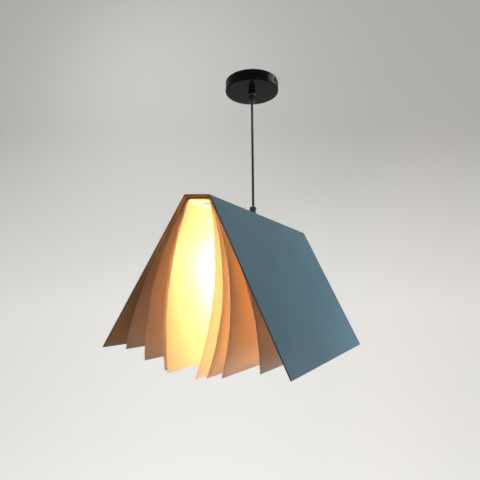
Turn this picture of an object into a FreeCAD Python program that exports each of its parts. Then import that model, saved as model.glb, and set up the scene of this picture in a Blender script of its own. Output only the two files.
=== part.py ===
import FreeCAD, Part
import math
import os
import Sketcher

# Pendant light with a shade like an open book that hangs spine up. Lengths in mm, angles in degrees.
# Frame: +Z up, the origin in the ceiling plane on the cord's axis, Y along the book's spine, X across it.
# Book frame: the origin in the spine's outer face at its middle, Z out of the spine, Y along it. The book's
# pieces are modelled there and share one placement, which hangs them from the cord with the photo's tilt.

doc = FreeCAD.newDocument("BookPendant")
sheet = doc.addObject("Spreadsheet::Sheet", "Sizes")

SIZES = [
    ("canopy_diameter", 100, "outside of the ceiling canopy"),
    ("canopy_height", 19, "ceiling to the canopy's underside"),
    ("canopy_wall", 1, "canopy sheet"),
    ("canopy_rim_radius", 2.5, "outer radius where the canopy's side meets its underside"),
    ("canopy_turn", 0, "side screws' turn about the cord, from +X"),
    ("bracket_width", 20, "ceiling bracket strip"),
    ("bracket_thickness", 1.5, "ceiling bracket sheet"),
    ("bracket_ear_height", 11, "ears below the ceiling"),
    ("bracket_ear_gap", 0.5, "ears' corners to the canopy's inner wall"),
    ("bracket_hole_spacing", 62, "between the ceiling screws' axes"),
    ("bracket_hole_radius", 2.3, "holes for 4 mm ceiling screws"),
    ("side_screw_drop", 5.5, "side screws' axes below the ceiling"),
    ("side_screw_radius", 2, "side screw shank"),
    ("side_screw_length", 9, "side screw shank"),
    ("side_head_radius", 3.5, "side screw's knurled head"),
    ("side_head_length", 5, "side screw's knurled head"),
    ("knurl_count", 20, "grooves round the side screw's head"),
    ("knurl_depth", 0.35, "grooves round the side screw's head"),
    ("tapping_clearance", 0.05, "radial play of a shank in its tapped hole"),
    ("hole_clearance", 0.2, "radial play of a shank or tube in a plain hole"),
    ("nipple_radius", 5, "hollow threaded tube"),
    ("nipple_bore_radius", 3.5, "hollow threaded tube"),
    ("nut_flats", 14, "locknut across flats"),
    ("nut_height", 4, "locknut"),
    ("grip_flange_radius", 7, "cord grip at its seat"),
    ("grip_flange_height", 6, "cord grip at its seat"),
    ("grip_body_radius", 6, "cord grip"),
    ("grip_height", 21, "cord grip from seat to mouth"),
    ("grip_dome_radius", 3.5, "rounding at the cord grip's mouth"),
    ("grip_socket_depth", 6, "tapped socket for the nipple"),
    ("grip_bore_clearance", 0.07, "radial play of the cord in the grip"),
    ("clamp_screw_radius", 2, "clamp screw in the cord grip's side"),
    ("clamp_screw_height", 12.5, "clamp screw's axis above the grip's seat"),
    ("clamp_slot_width", 0.8, "driver slot"),
    ("clamp_slot_depth", 1, "driver slot"),
    ("canopy_nipple_length", 13, "nipple through the canopy"),
    ("terminal_length", 20, "terminal block"),
    ("terminal_width", 15, "terminal block"),
    ("terminal_height", 12, "terminal block"),
    ("terminal_offset", 25, "terminal block's middle from the cord's axis"),
    ("terminal_pitch", 8, "between the two ways"),
    ("terminal_bore_radius", 1.6, "wire entries"),
    ("terminal_tube_wall", 0.6, "brass tube in each way"),
    ("terminal_screw_radius", 1.3, "brass screws"),
    ("wire_radius", 1, "insulated conductor"),
    ("cord_diameter", 4.5, "round two-core cord"),
    ("cord_drop", 199, "free cord between the two grips"),
    ("cord_tail", 5, "cord that stands out of a nipple before its conductors part"),
    ("cord_gap", 0.2, "free cord's end to the held cord at the canopy"),
    ("cord_gap_low", 0.2, "free cord's end to the tilted grip's mouth, and that to the held cord"),
    ("hang_tilt", 6.7, "book's tilt about the spine's direction, left side up"),
    ("hole_offset", -10.6, "spine hole from the spine's middle"),
    ("spine_width", 42, "cover's spine"),
    ("cover_length", 395, "cover along the spine"),
    ("board_height", 260, "each board from spine edge to foot"),
    ("board_angle_left", 27.2, "left board from the book's middle plane"),
    ("board_angle_right", 32.1, "right board from the book's middle plane"),
    ("cover_thickness", 1.5, "cover sheet metal"),
    ("bend_radius", 1, "inside of the cover's two bends"),
    ("lining_thickness", 0.5, "lining sheet"),
    ("lining_margin", 1, "bare metal round the lining"),
    ("spine_bar_thickness", 2, "bar between lining and pages"),
    ("spine_bar_width", 38, "bar between lining and pages"),
    ("spine_bar_length", 340, "bar between lining and pages"),
    ("page_thickness", 0.6, "page sheet"),
    ("page_margin", 7, "pages stop short of the cover at each end"),
    ("page_half_width", 260, "page sheet from its middle to its foot, laid flat"),
    ("page_one_top", 16.8, "half the flat top of the outer sheet"),
    ("page_one_shoulder", 5, "shoulder radius of the outer sheet"),
    ("page_one_straight", 80, "run of the outer sheet along the cover"),
    ("page_one_left_foot", -4.4, "slope at the left foot, inward positive"),
    ("page_one_right_foot", -7, "slope at the right foot"),
    ("page_two_top", 15, "half the flat top of the second sheet"),
    ("page_two_shoulder", 6, "its shoulder radius"),
    ("page_two_left_leave", 29.7, "outward slope below the left shoulder"),
    ("page_two_left_foot", 8.5, "inward slope at the left foot"),
    ("page_two_right_leave", 30.7, "outward slope below the right shoulder"),
    ("page_two_right_foot", 9.3, "inward slope at the right foot"),
    ("page_three_top", 13.4, "half the flat top of the third sheet"),
    ("page_three_shoulder", 6.5, "its shoulder radius"),
    ("page_three_left_leave", 18.5, "outward slope below the left shoulder"),
    ("page_three_left_foot", 15.3, "inward slope at the left foot"),
    ("page_three_right_leave", 26.5, "outward slope below the right shoulder"),
    ("page_three_right_foot", 15.5, "inward slope at the right foot"),
    ("page_four_top", 12, "half the flat top of the inner sheet"),
    ("page_four_shoulder", 7, "its shoulder radius"),
    ("page_four_left_leave", 15.2, "outward slope below the left shoulder"),
    ("page_four_left_foot", 14, "inward slope at the left foot"),
    ("page_four_right_leave", 18, "outward slope below the right shoulder"),
    ("page_four_right_foot", 15.2, "inward slope at the right foot"),
    ("clamp_bar_thickness", 2, "bar that clamps the pages to the spine"),
    ("clamp_bar_width", 20, "clamp bar"),
    ("clamp_bar_length", 330, "clamp bar"),
    ("clamp_bar_notch", 9, "radius of the clearance for the locknut in the clamp bar and pages"),
    ("clamp_bar_notch_depth", 25, "its reach below the spine, through the pages' shoulders"),
    ("page_screw_radius", 1.5, "screws that clamp the pages"),
    ("page_screw_head_radius", 2.8, "screws that clamp the pages"),
    ("page_screw_head_height", 1.8, "screws that clamp the pages"),
    ("page_screw_tip_gap", 0.2, "screws' tips to the lining"),
    ("page_screw_near", 55, "inner pair's places along the spine"),
    ("page_screw_far", 150, "outer pair's places along the spine"),
    ("spine_nipple_length", 45, "nipple through the spine, down to the lampholder"),
    ("holder_thread", 8, "nipple's reach into the lampholder's cap"),
    ("holder_neck_radius", 8, "lampholder cap's neck"),
    ("holder_neck_height", 3, "lampholder cap's neck"),
    ("holder_radius", 14, "lampholder"),
    ("holder_cap_height", 14, "lampholder cap"),
    ("holder_dome_radius", 9, "rounding of the lampholder's cap"),
    ("holder_shell_height", 38, "lampholder shell"),
    ("holder_wall", 1.6, "lampholder cap and shell"),
    ("holder_rim_height", 4, "shell's ring at its mouth"),
    ("holder_rim_step", 1, "ring proud of the shell"),
    ("insert_height", 10, "contact carrier"),
    ("insert_seat", 0.8, "step in the shell that carries the contact carrier"),
    ("contact_thickness", 0.6, "brass sleeve and centre contact"),
    ("sleeve_length", 20, "brass sleeve that takes the bulb's base"),
    ("bulb_cap_radius", 6.95, "screw base"),
    ("bulb_cap_length", 20.5, "screw base"),
    ("bulb_thread_pitch", 2.8, "rounded thread of the screw base"),
    ("bulb_thread_depth", 0.5, "rounded thread of the screw base"),
    ("bulb_clearance", 0.4, "radial play of the bulb's base in the sleeve"),
    ("bulb_insulator_height", 4, "insulator between base and tip"),
    ("bulb_tip_radius", 3, "tip contact"),
    ("bulb_tip_height", 1.5, "tip contact"),
    ("bulb_contact_gap", 0.3, "tip to the centre contact"),
    ("bulb_globe_radius", 20, "frosted globe"),
    ("bulb_globe_rise", 5, "globe's seam above its middle"),
    ("bulb_collar_height", 22, "collar between base and globe"),
]

for row, (name, number, note) in enumerate(SIZES, start=1):
    sheet.set(f"A{row}", name)
    sheet.set(f"B{row}", str(number))
    sheet.setAlias(f"B{row}", name)
    sheet.set(f"C{row}", note)
doc.recompute()


def value(expression):
    """Number that an expression on the sheet's names gives."""
    return float(sheet.evalExpression(expression))


def bound(expression):
    """The same expression as another object writes it."""
    names = sorted((name for name, number, note in SIZES), key=len, reverse=True)
    words = []
    word = ""
    for letter in expression + " ":
        if letter.isalnum() or letter in "_.":
            word += letter
            continue
        words.append("Sizes." + word if word in names else word)
        words.append(letter)
        word = ""
    return "".join(words).strip()


def origin_feature(body, role):
    """One of a body's own origin planes or axes."""
    return [item for item in body.Origin.OriginFeatures if item.Role == role][0]


def new_body(label):
    body = doc.addObject("PartDesign::Body", label)
    body.Label = label
    return body


def new_sketch(body, name, plane, lift=None):
    """A sketch on one of the body's origin planes, moved along its normal by an expression."""
    sketch = body.newObject("Sketcher::SketchObject", f"{body.Label}_{name}")
    sketch.AttachmentSupport = [(origin_feature(body, plane), "")]
    sketch.MapMode = "FlatFace"
    if lift:
        sketch.setExpression("AttachmentOffset.Base.z", bound(lift))
    return sketch


def pin(sketch, piece, end, across, up):
    """Ties a point of a sketch to the origin by two expressions."""
    for kind, expression in (("DistanceX", across), ("DistanceY", up)):
        index = sketch.addConstraint(Sketcher.Constraint(kind, -1, 1, piece, end, value(expression)))
        sketch.setExpression(f"Constraints[{index}]", bound(expression))


def outline(sketch, corners):
    """A closed outline through corners (across, up). A third item is the radius of an arc that runs
    from that corner to the next, turning left where positive and right where negative."""
    places = [FreeCAD.Vector(value(c[0]), value(c[1]), 0) for c in corners]
    count = len(corners)
    starts = []
    ends = []
    for index, corner in enumerate(corners):
        start = places[index]
        end = places[(index + 1) % count]
        if len(corner) == 2:
            piece = sketch.addGeometry(Part.LineSegment(start, end), False)
            starts.append((piece, 1))
            ends.append((piece, 2))
            continue
        radius = value(corner[2])
        side = 1 if radius > 0 else -1
        radius = abs(radius)
        chord = end - start
        reach = math.sqrt(max(radius**2 - (chord.Length / 2) ** 2, 0))
        across = FreeCAD.Vector(-chord.y, chord.x, 0).normalize()
        centre = (start + end) * 0.5 + across * (reach * side)
        first, last = (start, end) if side > 0 else (end, start)
        angles = [math.atan2(p.y - centre.y, p.x - centre.x) for p in (first, last)]
        circle = Part.Circle(centre, FreeCAD.Vector(0, 0, 1), radius)
        piece = sketch.addGeometry(Part.ArcOfCircle(circle, angles[0], angles[1]), False)
        starts.append((piece, 1 if side > 0 else 2))
        ends.append((piece, 2 if side > 0 else 1))
        sign = "" if side > 0 else "-"
        index = sketch.addConstraint(Sketcher.Constraint("Radius", piece, radius))
        sketch.setExpression(f"Constraints[{index}]", f"{sign}({bound(corner[2])})")
    for index in range(count):
        after = starts[(index + 1) % count]
        sketch.addConstraint(Sketcher.Constraint("Coincident", *ends[index], *after))
    for (piece, end), corner in zip(starts, corners):
        pin(sketch, piece, end, corner[0], corner[1])


def circle(sketch, across, up, radius):
    """A circle tied to the origin by expressions."""
    centre = FreeCAD.Vector(value(across), value(up), 0)
    round_edge = Part.Circle(centre, FreeCAD.Vector(0, 0, 1), value(radius))
    piece = sketch.addGeometry(round_edge, False)
    pin(sketch, piece, 3, across, up)
    index = sketch.addConstraint(Sketcher.Constraint("Radius", piece, value(radius)))
    sketch.setExpression(f"Constraints[{index}]", bound(radius))


def rectangle(sketch, left, low, right, high):
    outline(sketch, [(left, low), (right, low), (right, high), (left, high)])


def revolve(body, name, corners):
    """A solid of revolution about the body's Z axis from an outline in its XZ plane."""
    sketch = new_sketch(body, name + "_profile", "XZ_Plane")
    outline(sketch, corners)
    feature = body.newObject("PartDesign::Revolution", f"{body.Label}_{name}")
    feature.Profile = sketch
    feature.ReferenceAxis = (sketch, ["V_Axis"])
    feature.Angle = 360
    doc.recompute()
    return feature


def pad(body, name, sketch, length, symmetric=False):
    feature = body.newObject("PartDesign::Pad", f"{body.Label}_{name}")
    feature.Profile = sketch
    feature.setExpression("Length", bound(length))
    if symmetric:
        feature.SideType = "Symmetric"
    doc.recompute()
    return feature


def pocket(body, name, sketch, length):
    """A cut both ways from its sketch, which has to take material away."""
    before = body.Shape.Volume
    feature = body.newObject("PartDesign::Pocket", f"{body.Label}_{name}")
    feature.Profile = sketch
    feature.setExpression("Length", bound(length))
    feature.SideType = "Symmetric"
    doc.recompute()
    if body.Shape.Volume >= before:
        raise ValueError(f"{feature.Label} cuts nothing")
    return feature


def round_edges(body, name, radius, chosen, kind="Fillet"):
    """Fillet or chamfer on the edges that a test picks from the body's tip."""
    tip = body.Tip
    edges = [f"Edge{i}" for i, edge in enumerate(tip.Shape.Edges, start=1) if chosen(edge)]
    feature = body.newObject(f"PartDesign::{kind}", f"{body.Label}_{name}")
    feature.Base = (tip, edges)
    feature.setExpression("Radius" if kind == "Fillet" else "Size", bound(radius))
    doc.recompute()
    return feature


def near(a, b):
    return abs(a - b) < 1e-4


def placed(x, y, z, turn=None):
    return FreeCAD.Placement(FreeCAD.Vector(x, y, z), turn or FreeCAD.Rotation())


Z_AXIS = FreeCAD.Vector(0, 0, 1)
PARTS = []

# Places that several pieces share
mouth_drop = value("canopy_height + grip_height")
pivot_drop = value("canopy_height + grip_height + cord_drop")
hang_turn = FreeCAD.Rotation(FreeCAD.Vector(0, 1, 0), value("hang_tilt"))
hang_point = FreeCAD.Vector(value("hole_offset"), 0, value("grip_height"))
hang = FreeCAD.Placement(FreeCAD.Vector(0, 0, -pivot_drop), FreeCAD.Rotation())
hang = hang.multiply(FreeCAD.Placement(FreeCAD.Vector(0, 0, 0), hang_turn))
hang = hang.multiply(FreeCAD.Placement(hang_point * -1, FreeCAD.Rotation()))
canopy_spin = FreeCAD.Rotation(Z_AXIS, value("canopy_turn"))
upside_down = FreeCAD.Rotation(FreeCAD.Vector(1, 0, 0), 180)


def keep(item, place):
    item.Placement = place
    PARTS.append(item)
    return item


def on_book(x, y, z, turn=None):
    """A place in the book frame, on the hanging book."""
    return hang.multiply(placed(x, y, z, turn))


# Ceiling bracket: a strip whose two ears hold the side screws
bracket = new_body("ceiling_bracket")
cup_inside = "(canopy_diameter / 2 - canopy_wall)"
ear_face = f"(sqrt({cup_inside}^2 - (bracket_width / 2)^2) - bracket_ear_gap)"
strip = new_sketch(bracket, "strip_profile", "XZ_Plane")
outline(
    strip,
    [
        (f"-{ear_face}", "-bracket_ear_height"),
        (f"-{ear_face} + bracket_thickness", "-bracket_ear_height"),
        (f"-{ear_face} + bracket_thickness", "-bracket_thickness"),
        (f"{ear_face} - bracket_thickness", "-bracket_thickness"),
        (f"{ear_face} - bracket_thickness", "-bracket_ear_height"),
        (ear_face, "-bracket_ear_height"),
        (ear_face, "0"),
        (f"-{ear_face}", "0"),
    ],
)
pad(bracket, "strip", strip, "bracket_width", symmetric=True)
holes = new_sketch(bracket, "ceiling_holes", "XY_Plane")
circle(holes, "bracket_hole_spacing / 2", "0", "bracket_hole_radius")
circle(holes, "-bracket_hole_spacing / 2", "0", "bracket_hole_radius")
pocket(bracket, "ceiling_hole_cut", holes, "4 * bracket_thickness")
taps = new_sketch(bracket, "tapped_holes", "YZ_Plane")
circle(taps, "0", "-side_screw_drop", "side_screw_radius + tapping_clearance")
pocket(bracket, "tapped_hole_cut", taps, "2 * canopy_diameter")
round_edges(
    bracket,
    "corners",
    "bracket_thickness * 0.6",
    lambda edge: near(abs(edge.CenterOfMass.x), value(ear_face))
    and near(edge.CenterOfMass.z, 0)
    and near(edge.Length, value("bracket_width")),
)
keep(bracket, placed(0, 0, 0, canopy_spin))

# Canopy: a spun cup, open to the ceiling
canopy = new_body("canopy")
revolve(
    canopy,
    "cup",
    [
        ("nipple_radius + hole_clearance", "-canopy_height"),
        ("canopy_diameter / 2 - canopy_rim_radius", "-canopy_height", "canopy_rim_radius"),
        ("canopy_diameter / 2", "-canopy_height + canopy_rim_radius"),
        ("canopy_diameter / 2", "0"),
        ("canopy_diameter / 2 - canopy_wall", "0"),
        (
            "canopy_diameter / 2 - canopy_wall",
            "-canopy_height + canopy_rim_radius",
            "-(canopy_rim_radius - canopy_wall)",
        ),
        ("canopy_diameter / 2 - canopy_rim_radius", "-canopy_height + canopy_wall"),
        ("nipple_radius + hole_clearance", "-canopy_height + canopy_wall"),
    ],
)
side_holes = new_sketch(canopy, "side_holes", "YZ_Plane")
circle(side_holes, "0", "-side_screw_drop", "side_screw_radius + hole_clearance")
pocket(canopy, "side_hole_cut", side_holes, "2 * canopy_diameter")
keep(canopy, placed(0, 0, 0, canopy_spin))


def side_screw(label, turn):
    """Knurled screw along Z with its head's inner face at the origin."""
    body = new_body(label)
    revolve(
        body,
        "turned",
        [
            ("0", "-side_screw_length"),
            ("side_screw_radius - 0.5", "-side_screw_length"),
            ("side_screw_radius", "-side_screw_length + 0.5"),
            ("side_screw_radius", "0"),
            ("side_head_radius - 0.4", "0"),
            ("side_head_radius", "0.4"),
            ("side_head_radius", "side_head_length - 0.4"),
            ("side_head_radius - 0.4", "side_head_length"),
            ("0", "side_head_length"),
        ],
    )
    groove = new_sketch(body, "groove", "XY_Plane", "side_head_length / 2")
    outline(
        groove,
        [
            ("side_head_radius - knurl_depth", "0"),
            ("side_head_radius + 0.3", "-knurl_depth - 0.3"),
            ("side_head_radius + 0.3", "knurl_depth + 0.3"),
        ],
    )
    pocket(body, "groove_cut", groove, "side_head_length")
    knurl = body.newObject("PartDesign::PolarPattern", f"{label}_knurl")
    knurl.Originals = [body.Tip]
    knurl.Axis = (groove, ["N_Axis"])
    knurl.Angle = 360
    knurl.setExpression("Occurrences", bound("knurl_count"))
    body.Tip = knurl
    doc.recompute()
    seat = value("canopy_diameter / 2")
    turned = FreeCAD.Rotation(Z_AXIS, value("canopy_turn") + turn)
    outward = turned.multVec(FreeCAD.Vector(seat, 0, 0))
    lying = turned.multiply(FreeCAD.Rotation(FreeCAD.Vector(0, 1, 0), 90))
    keep(body, placed(outward.x, outward.y, -value("side_screw_drop"), lying))


side_screw("side_screw_right", 0)
side_screw("side_screw_left", 180)


def nipple(label, length, place):
    """Hollow threaded tube, its upper end at the origin."""
    body = new_body(label)
    revolve(
        body,
        "tube",
        [
            ("nipple_bore_radius", f"-{length}"),
            ("nipple_radius - 0.5", f"-{length}"),
            ("nipple_radius", f"-{length} + 0.5"),
            ("nipple_radius", "-0.5"),
            ("nipple_radius - 0.5", "0"),
            ("nipple_bore_radius", "0"),
        ],
    )
    keep(body, place)


def locknut(label, place):
    """Hexagon nut on the nipple, its upper face at the origin."""
    body = new_body(label)
    hexagon = new_sketch(body, "hexagon", "XY_Plane")
    corner = "nut_flats / 2 / cos(30)"
    outline(
        hexagon,
        [(f"{corner} * cos({60 * i})", f"{corner} * sin({60 * i})") for i in range(6)],
    )
    circle(hexagon, "0", "0", "nipple_radius + tapping_clearance")
    prism = pad(body, "prism", hexagon, "nut_height")
    prism.Reversed = True
    doc.recompute()
    keep(body, place)


def cord_grip(label, place):
    """Turned plastic grip: its seat at the origin, the cord leaving upward along Z."""
    body = new_body(label)
    bore = "cord_diameter / 2 + grip_bore_clearance"
    socket = "nipple_radius + tapping_clearance"
    revolve(
        body,
        "turned",
        [
            (socket, "0"),
            ("grip_flange_radius - 0.5", "0"),
            ("grip_flange_radius", "0.5"),
            ("grip_flange_radius", "grip_flange_height - 1"),
            ("grip_body_radius", "grip_flange_height"),
            ("grip_body_radius", "grip_height - grip_dome_radius", "grip_dome_radius"),
            ("grip_body_radius - grip_dome_radius", "grip_height"),
            (bore, "grip_height"),
            (bore, "grip_socket_depth"),
            (socket, "grip_socket_depth"),
        ],
    )
    tap = new_sketch(body, "clamp_hole", "YZ_Plane", "grip_body_radius")
    circle(tap, "0", "clamp_screw_height", "clamp_screw_radius + tapping_clearance")
    pocket(body, "clamp_hole_cut", tap, "2 * (grip_body_radius - cord_diameter / 2)")
    keep(body, place)


def clamp_screw(label, place):
    """Slotted screw in the grip's side. It reaches from the cord to just under the grip's surface."""
    body = new_body(label)
    tip = "cord_diameter / 2 + grip_bore_clearance"
    head = "grip_body_radius - 0.3"
    revolve(
        body,
        "turned",
        [
            ("0", tip),
            ("clamp_screw_radius - 0.5", tip),
            ("clamp_screw_radius", f"{tip} + 0.5"),
            ("clamp_screw_radius", head),
            ("0", head),
        ],
    )
    slot = new_sketch(body, "slot", "XY_Plane", head)
    rectangle(
        slot,
        "-clamp_slot_width / 2",
        "-2 * clamp_screw_radius",
        "clamp_slot_width / 2",
        "2 * clamp_screw_radius",
    )
    pocket(body, "slot_cut", slot, "2 * clamp_slot_depth")
    lying = FreeCAD.Rotation(FreeCAD.Vector(0, 1, 0), 90)
    keep(body, place.multiply(placed(0, 0, value("clamp_screw_height"), lying)))


# Canopy's grip, nipple and locknut
canopy_seat = placed(0, 0, -value("canopy_height"), upside_down)
cord_grip("canopy_grip", canopy_seat)
clamp_screw("canopy_grip_screw", canopy_seat)
canopy_nipple_top = value("-canopy_height - grip_socket_depth + canopy_nipple_length")
nipple("canopy_nipple", "canopy_nipple_length", placed(0, 0, canopy_nipple_top))
locknut("canopy_locknut", placed(0, 0, value("-canopy_height + canopy_wall + nut_height")))

# Terminal block under the bracket, in the bracket's own turn
block = new_body("terminal_block")
block_top = "-bracket_thickness"
block_low = "-bracket_thickness - terminal_height"
bore_level = "(-bracket_thickness - terminal_height * 0.62)"
section = new_sketch(block, "section", "XZ_Plane")
outline(
    section,
    [
        ("-terminal_width / 2", block_top),
        ("-terminal_width / 2", f"{block_low} + 2"),
        ("-terminal_width / 2 + 1", block_low),
        ("terminal_width / 2 - 1", block_low),
        ("terminal_width / 2", f"{block_low} + 2"),
        ("terminal_width / 2", block_top),
    ],
)
pad(block, "moulding", section, "terminal_length", symmetric=True)
entries = new_sketch(block, "entries", "YZ_Plane")
for side in ("-", ""):
    circle(entries, f"{side}terminal_pitch / 2", bore_level, "terminal_bore_radius + terminal_tube_wall")
pocket(block, "entry_cut", entries, "2 * terminal_width")
wells = new_sketch(block, "screw_wells", "XY_Plane", block_low)
for side in ("-", ""):
    for end in ("-", ""):
        circle(
            wells,
            f"{end}terminal_width / 4",
            f"{side}terminal_pitch / 2",
            "terminal_screw_radius + hole_clearance",
        )
pocket(block, "screw_well_cut", wells, "terminal_height")
block_place = FreeCAD.Placement(FreeCAD.Vector(0, 0, 0), canopy_spin)
block_place = block_place.multiply(placed(-value("terminal_offset"), 0, 0))
keep(block, block_place)

# Brass tubes and screws of the terminal block, two ways
brass = []
for side in (-1, 1):
    way = value("terminal_pitch / 2") * side
    level = value(bore_level)
    tube_length = value("terminal_width - 1")
    inner = value("terminal_bore_radius")
    along_x = FreeCAD.Vector(1, 0, 0)
    start = FreeCAD.Vector(-tube_length / 2, way, level)
    tube = Part.makeCylinder(inner + value("terminal_tube_wall"), tube_length, start, along_x)
    tube = tube.cut(Part.makeCylinder(inner, tube_length, start, along_x))
    for end in (-1, 1):
        foot = FreeCAD.Vector(value("terminal_width / 4") * end, way, value(block_low) + 0.5)
        reach = level - value("wire_radius") - foot.z
        screw = Part.makeCylinder(value("terminal_screw_radius"), reach, foot, Z_AXIS)
        tube = tube.fuse(screw)
    brass.append(tube.removeSplitter())
terminals = doc.addObject("Part::Feature", "terminal_brass")
terminals.Shape = Part.makeCompound(brass)
keep(terminals, block_place)


def rounded_path(points, share=0.45):
    """Straight runs joined by tangent arcs, each as large as its shorter run allows."""
    edges = []
    start = points[0]
    for before, corner, after in zip(points, points[1:], points[2:]):
        into = (corner - before).normalize()
        out = (after - corner).normalize()
        turn = into.getAngle(out)
        cut = share * min((corner - before).Length, (after - corner).Length)
        radius = cut / math.tan(turn / 2)
        first = corner - into * cut
        last = corner + out * cut
        middle = corner + (out - into).normalize() * (radius / math.cos(turn / 2) - radius)
        edges.append(Part.LineSegment(start, first).toShape())
        edges.append(Part.Arc(first, middle, last).toShape())
        start = last
    edges.append(Part.LineSegment(start, points[-1]).toShape())
    return Part.Wire(edges)


def wire_tube(points, radius):
    """A round tube along a rounded path."""
    path = rounded_path(points)
    ring = Part.makeCircle(radius, points[0], points[1] - points[0])
    tube = path.makePipeShell([Part.Wire([ring])], True, False)
    return tube


# Cord held in the canopy's grip, and its two conductors to the terminal block
stub_top = value("-canopy_height - grip_socket_depth + canopy_nipple_length + cord_tail")
stub = doc.addObject("Part::Cylinder", "cord_in_canopy")
stub.Label = "cord_in_canopy"
stub.setExpression("Radius", bound("cord_diameter / 2"))
stub.setExpression("Height", bound("grip_height - grip_socket_depth + canopy_nipple_length + cord_tail"))
keep(stub, placed(0, 0, -mouth_drop))

conductors = []
entry_x = -value("terminal_offset - terminal_width / 2") - 3
for side in (-1, 1):
    start = FreeCAD.Vector(0, 1.05 * side, stub_top + 0.3)
    way = FreeCAD.Vector(entry_x, value("terminal_pitch / 2") * side, value(bore_level))
    bend_height = min(stub_top + 3.2, -value("bracket_thickness") - 2)
    route = [
        start,
        FreeCAD.Vector(-0.6, 1.15 * side, bend_height),
        FreeCAD.Vector(-6, 2.6 * side, bend_height - 0.3),
        FreeCAD.Vector(entry_x + 6, way.y, way.z),
        way,
    ]
    conductors.append(wire_tube(route, value("wire_radius")))
canopy_wires = doc.addObject("Part::Feature", "canopy_wires")
canopy_wires.Shape = Part.makeCompound(conductors)
keep(canopy_wires, placed(0, 0, 0, canopy_spin))

# Free cord: one straight run, because it carries the shade. Domed ends let it lean at both grips.
cord = new_body("cord")
cord_radius = "cord_diameter / 2"
cord_run = "(cord_drop - cord_gap - cord_gap_low)"
revolve(
    cord,
    "run",
    [
        ("0", "0", cord_radius),
        (cord_radius, cord_radius),
        (cord_radius, f"{cord_run} - {cord_radius}", cord_radius),
        ("0", cord_run),
    ],
)
keep(cord, placed(0, 0, -pivot_drop + value("cord_gap_low")))


def fold_line(side, depth):
    """Half the spine's width on one side, on the sheet face that lies depth under the outer face."""
    return f"(spine_width / 2 - ({depth}) * tan(45 - board_angle_{side} / 2))"


def board_foot(side, depth, trim):
    """A board's foot on that face, with trim cut off the board's height."""
    run = f"(board_height - ({trim}) - ({depth}) * tan(45 - board_angle_{side} / 2))"
    across = f"({fold_line(side, depth)} + {run} * sin(board_angle_{side}))"
    return across, f"-({depth}) - {run} * cos(board_angle_{side})"


def cover_corners(depth, trim):
    """The folded sheet's section on one face, from the left foot to the right one."""
    left_x, left_z = board_foot("left", depth, trim)
    right_x, right_z = board_foot("right", depth, trim)
    return [
        (f"-{left_x}", left_z),
        (f"-{fold_line('left', depth)}", f"-({depth})"),
        (fold_line("right", depth), f"-({depth})"),
        (right_x, right_z),
    ]


def bent_sheet(label, outer, thickness, trim, length, inner_bend):
    """Sheet folded into spine and two boards, between two depths under the cover's outer face."""
    body = new_body(label)
    section = new_sketch(body, "section", "XZ_Plane")
    outside = cover_corners(outer, trim)
    inside = cover_corners(f"{outer} + {thickness}", trim)
    outline(section, outside + inside[::-1])
    pad(body, "folded", section, length, symmetric=True)
    for name, depth, radius in (
        ("inner_bends", f"({outer} + {thickness})", inner_bend),
        ("outer_bends", f"({outer})", f"{inner_bend} + {thickness}"),
    ):
        level = -value(depth)
        round_edges(
            body,
            name,
            radius,
            lambda edge: near(edge.CenterOfMass.z, level) and near(edge.Length, value(length))
            and edge.CenterOfMass.y < 1,
        )
    hole = new_sketch(body, "hole", "XY_Plane")
    circle(hole, "hole_offset", "0", "nipple_radius + hole_clearance")
    pocket(body, "hole_cut", hole, "spine_width")
    keep(body, on_book(0, 0, 0))


bent_sheet("cover", "0", "cover_thickness", "0", "cover_length", "bend_radius")
bent_sheet(
    "cover_lining",
    "cover_thickness",
    "lining_thickness",
    "lining_margin",
    "cover_length - 2 * lining_margin",
    "bend_radius - lining_thickness",
)


def flat_bar(label, length, width, thickness, top, holes):
    """A bar along the spine with round corners, and holes given as (x, y, radius)."""
    body = new_body(label)
    plan = new_sketch(body, "plan", "XY_Plane")
    rectangle(plan, f"-{width} / 2", f"-{length} / 2", f"{width} / 2", f"{length} / 2")
    bar = pad(body, "bar", plan, thickness)
    bar.Reversed = True
    doc.recompute()
    round_edges(body, "corners", "3", lambda edge: near(edge.Length, value(thickness)))
    drilled = new_sketch(body, "holes", "XY_Plane")
    for across, along, radius in holes:
        circle(drilled, across, along, radius)
    pocket(body, "hole_cut", drilled, f"3 * {thickness}")
    keep(body, on_book(0, 0, -value(top)))


pages_top = "(cover_thickness + lining_thickness + spine_bar_thickness)"
pages_low = f"({pages_top} + 4 * page_thickness)"
page_screw_rows = [f"{sign}{name}" for sign in ("", "-") for name in ("page_screw_near", "page_screw_far")]
tapped = [("0", row, "page_screw_radius + tapping_clearance") for row in page_screw_rows]
drilled_through = [("0", row, "page_screw_radius + hole_clearance") for row in page_screw_rows]
flat_bar(
    "spine_bar",
    "spine_bar_length",
    "spine_bar_width",
    "spine_bar_thickness",
    "cover_thickness + lining_thickness",
    [("hole_offset", "0", "nipple_radius + hole_clearance")] + tapped,
)


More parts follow.
